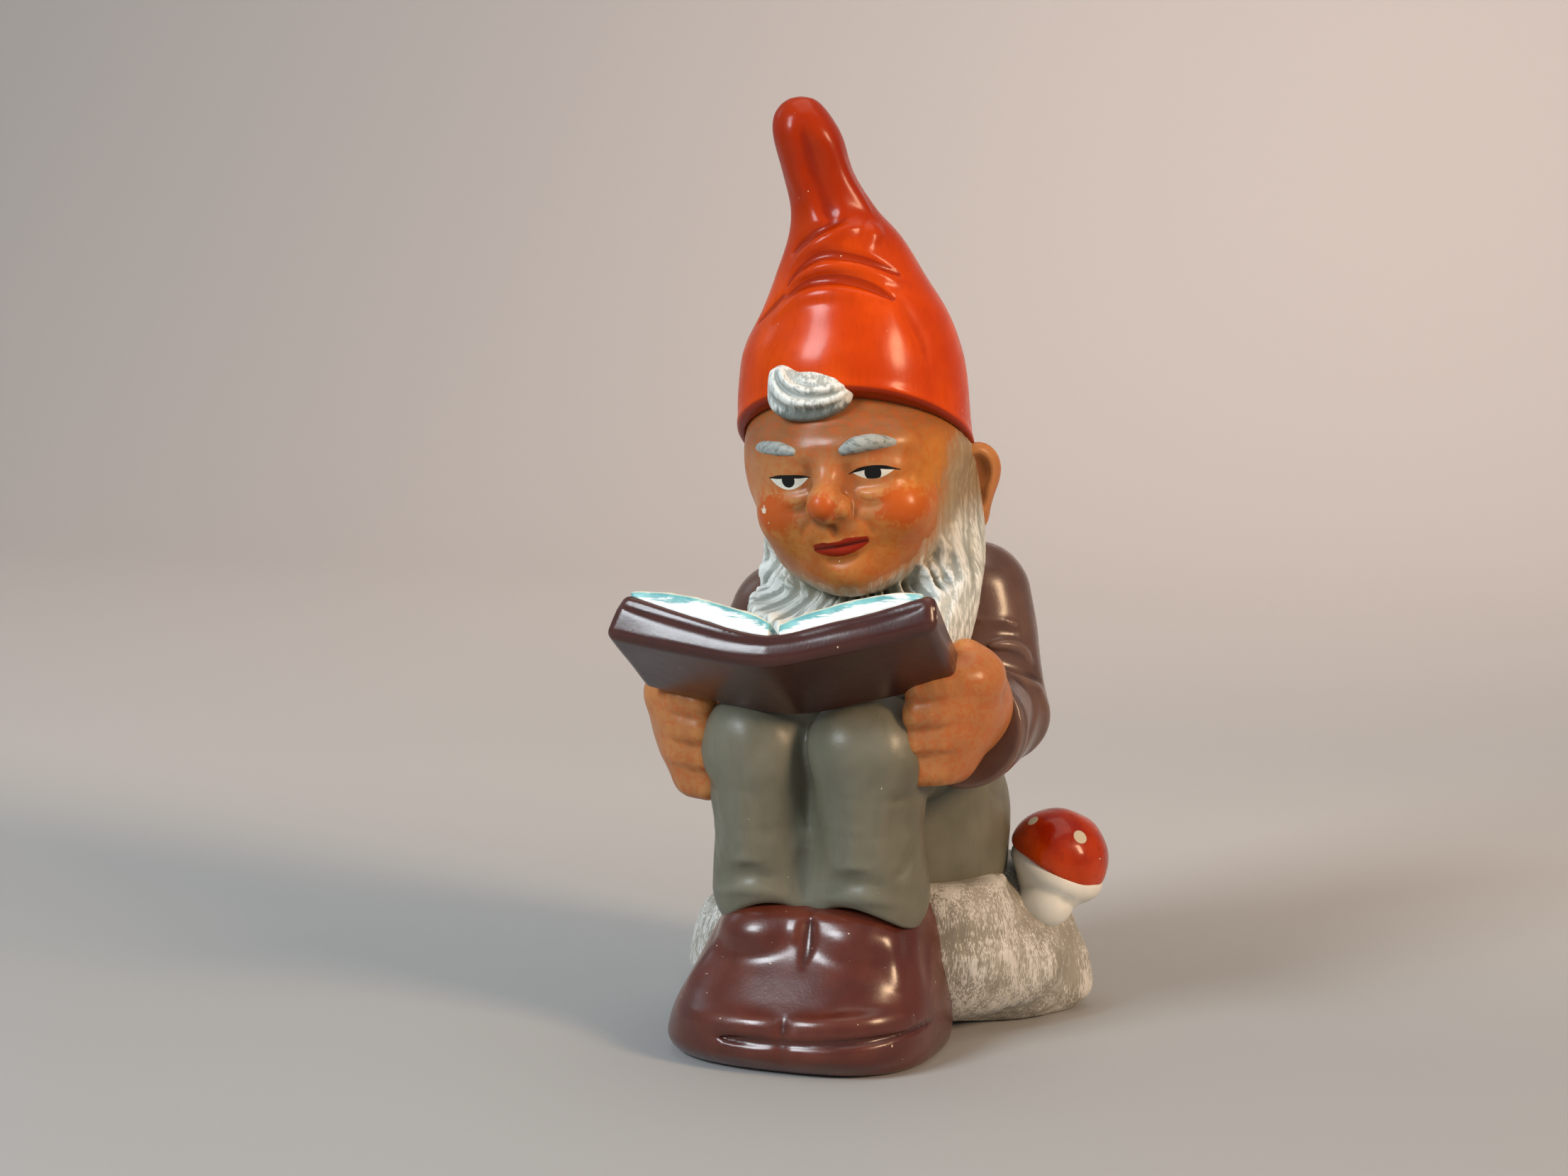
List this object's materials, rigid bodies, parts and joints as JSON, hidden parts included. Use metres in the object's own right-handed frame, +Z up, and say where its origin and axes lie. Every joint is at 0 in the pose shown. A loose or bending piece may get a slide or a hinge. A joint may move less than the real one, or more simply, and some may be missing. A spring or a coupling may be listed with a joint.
{
  "type": "garden gnome figurine",
  "caption": "Seated gnome with a long pointed hat, reading an open book on its knees, on a rock with a mushroom at its side; it stands on a flat underside.",
  "frame": {"origin": "middle of the bounding box, on the flat underside that rests on the table", "axes": "+Z up towards the tip of the hat, -Y the way the gnome faces, +X towards the gnome's left hand and the mushroom"},
  "size_m": [0.133, 0.143, 0.266],
  "materials": {
    "rock_paint": "khaki-grey wash with off-white dry-brushed strokes, matt",
    "trouser_paint": "grey-green paint, satin",
    "jacket_paint": "dark maroon-brown paint with a greyish bloom, satin",
    "skin_paint": "warm tan paint with airbrushed orange-red cheeks and nose, satin",
    "hat_paint": "orange-red enamel paint, semi-gloss",
    "cover_paint": "dark maroon paint, semi-gloss, chipped at a corner",
    "page_paint": "white paint with turquoise streaks, satin",
    "shoe_paint": "dark maroon-brown paint, semi-gloss",
    "hair_paint": "silver-grey paint dry-brushed with cream-white, matt",
    "cap_paint": "red enamel paint with off-white dots, semi-gloss",
    "stem_paint": "greyish-white paint, matt"
  },
  "bodies": {
    "root": {"base_rock": "rock_paint", "trouser_seat": "trouser_paint", "left_trouser_leg": "trouser_paint", "right_trouser_leg": "trouser_paint", "jacket": "jacket_paint", "left_sleeve": "jacket_paint", "right_sleeve": "jacket_paint", "head": "skin_paint", "left_ear": "skin_paint", "right_ear": "skin_paint", "left_hand": "skin_paint", "right_hand": "skin_paint", "hat": "hat_paint", "book_cover": "cover_paint", "left_pages": "page_paint", "right_pages": "page_paint", "left_shoe": "shoe_paint", "right_shoe": "shoe_paint", "beard": "hair_paint", "forelock": "hair_paint", "left_eyebrow": "hair_paint", "right_eyebrow": "hair_paint", "mushroom_cap": "cap_paint", "mushroom_stem": "stem_paint"}
  },
  "joints": []
}
